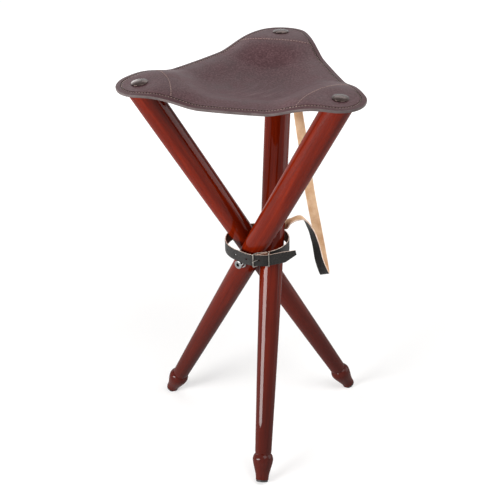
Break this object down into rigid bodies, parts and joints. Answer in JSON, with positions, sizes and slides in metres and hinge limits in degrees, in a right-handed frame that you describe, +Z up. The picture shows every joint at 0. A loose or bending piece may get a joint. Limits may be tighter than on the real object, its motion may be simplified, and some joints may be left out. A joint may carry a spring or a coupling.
{
  "type": "folding tripod stool",
  "caption": "Folding stool of turned hardwood legs that cross on a pivot bolt, with a slung leather seat, a buckled waist belt and a carrying strap.",
  "frame": {"origin": "on the floor, in the middle of the stool's box seen from above", "axes": "+Z up, +Y towards the seat corner of leg C, +X to the right of someone who looks along +Y"},
  "size_m": [0.3538, 0.3768, 0.6053],
  "materials": {
    "lacquered_wood": "red-brown stain under high-gloss lacquer",
    "seat_leather": "dark brown, smooth, half gloss",
    "patch_leather": "dark brown, flesh side",
    "belt_leather": "black grain, matt",
    "strap_leather": "black grain, tan flesh side, matt",
    "stud_steel": "dull polished",
    "bolt_steel": "plain",
    "chrome": "polished",
    "wire_steel": "bright",
    "rubber": "matt black"
  },
  "bodies": {
    "waist": {"three_way_bolt": "bolt_steel", "pivot_washer_a": "bolt_steel", "pivot_washer_b": "bolt_steel", "pivot_washer_c": "bolt_steel", "pivot_nut_a": "chrome", "pivot_nut_b": "chrome", "pivot_nut_c": "chrome", "waist_belt": "belt_leather", "belt_rivet": "wire_steel", "belt_keeper": "wire_steel", "buckle_frame": "wire_steel", "seat_panel": "seat_leather"},
    "leg_a": {"leg_a": "lacquered_wood", "foot_glide_a": "rubber", "seat_stud_a": "stud_steel", "corner_patch_a": "patch_leather"},
    "leg_b": {"leg_b": "lacquered_wood", "foot_glide_b": "rubber", "seat_stud_b": "stud_steel", "corner_patch_b": "patch_leather"},
    "leg_c": {"leg_c": "lacquered_wood", "foot_glide_c": "rubber", "seat_stud_c": "stud_steel", "corner_patch_c": "patch_leather", "carry_strap": "strap_leather", "strap_screw_upper": "wire_steel", "strap_screw_lower": "wire_steel"},
    "prong": {"buckle_prong": "wire_steel"}
  },
  "joints": [
    {"name": "fold_a", "type": "hinge", "parent": "waist", "child": "leg_a", "pos_m": [-0.00057, 0.01053, 0.30552], "axis": [-0.5, 0.866, 0], "range_deg": [0, 20], "deforming": ["seat_panel"]},
    {"name": "fold_b", "type": "hinge", "parent": "waist", "child": "leg_b", "pos_m": [-0.00057, -0.02757, 0.30552], "axis": [-0.5, -0.866, 0], "range_deg": [0, 20], "deforming": ["seat_panel"]},
    {"name": "fold_c", "type": "hinge", "parent": "waist", "child": "leg_c", "pos_m": [0.03244, -0.00852, 0.30552], "axis": [1, 0, 0], "range_deg": [0, 20], "deforming": ["seat_panel"]},
    {"name": "prong_lift", "type": "hinge", "parent": "waist", "child": "prong", "pos_m": [0.01791, -0.05851, 0.32157], "axis": [0, 0, 1], "range_deg": [0, 45]}
  ],
  "couplings": [
    {"joint": "fold_b", "follows": "fold_a", "ratio": 1},
    {"joint": "fold_c", "follows": "fold_a", "ratio": 1}
  ]
}
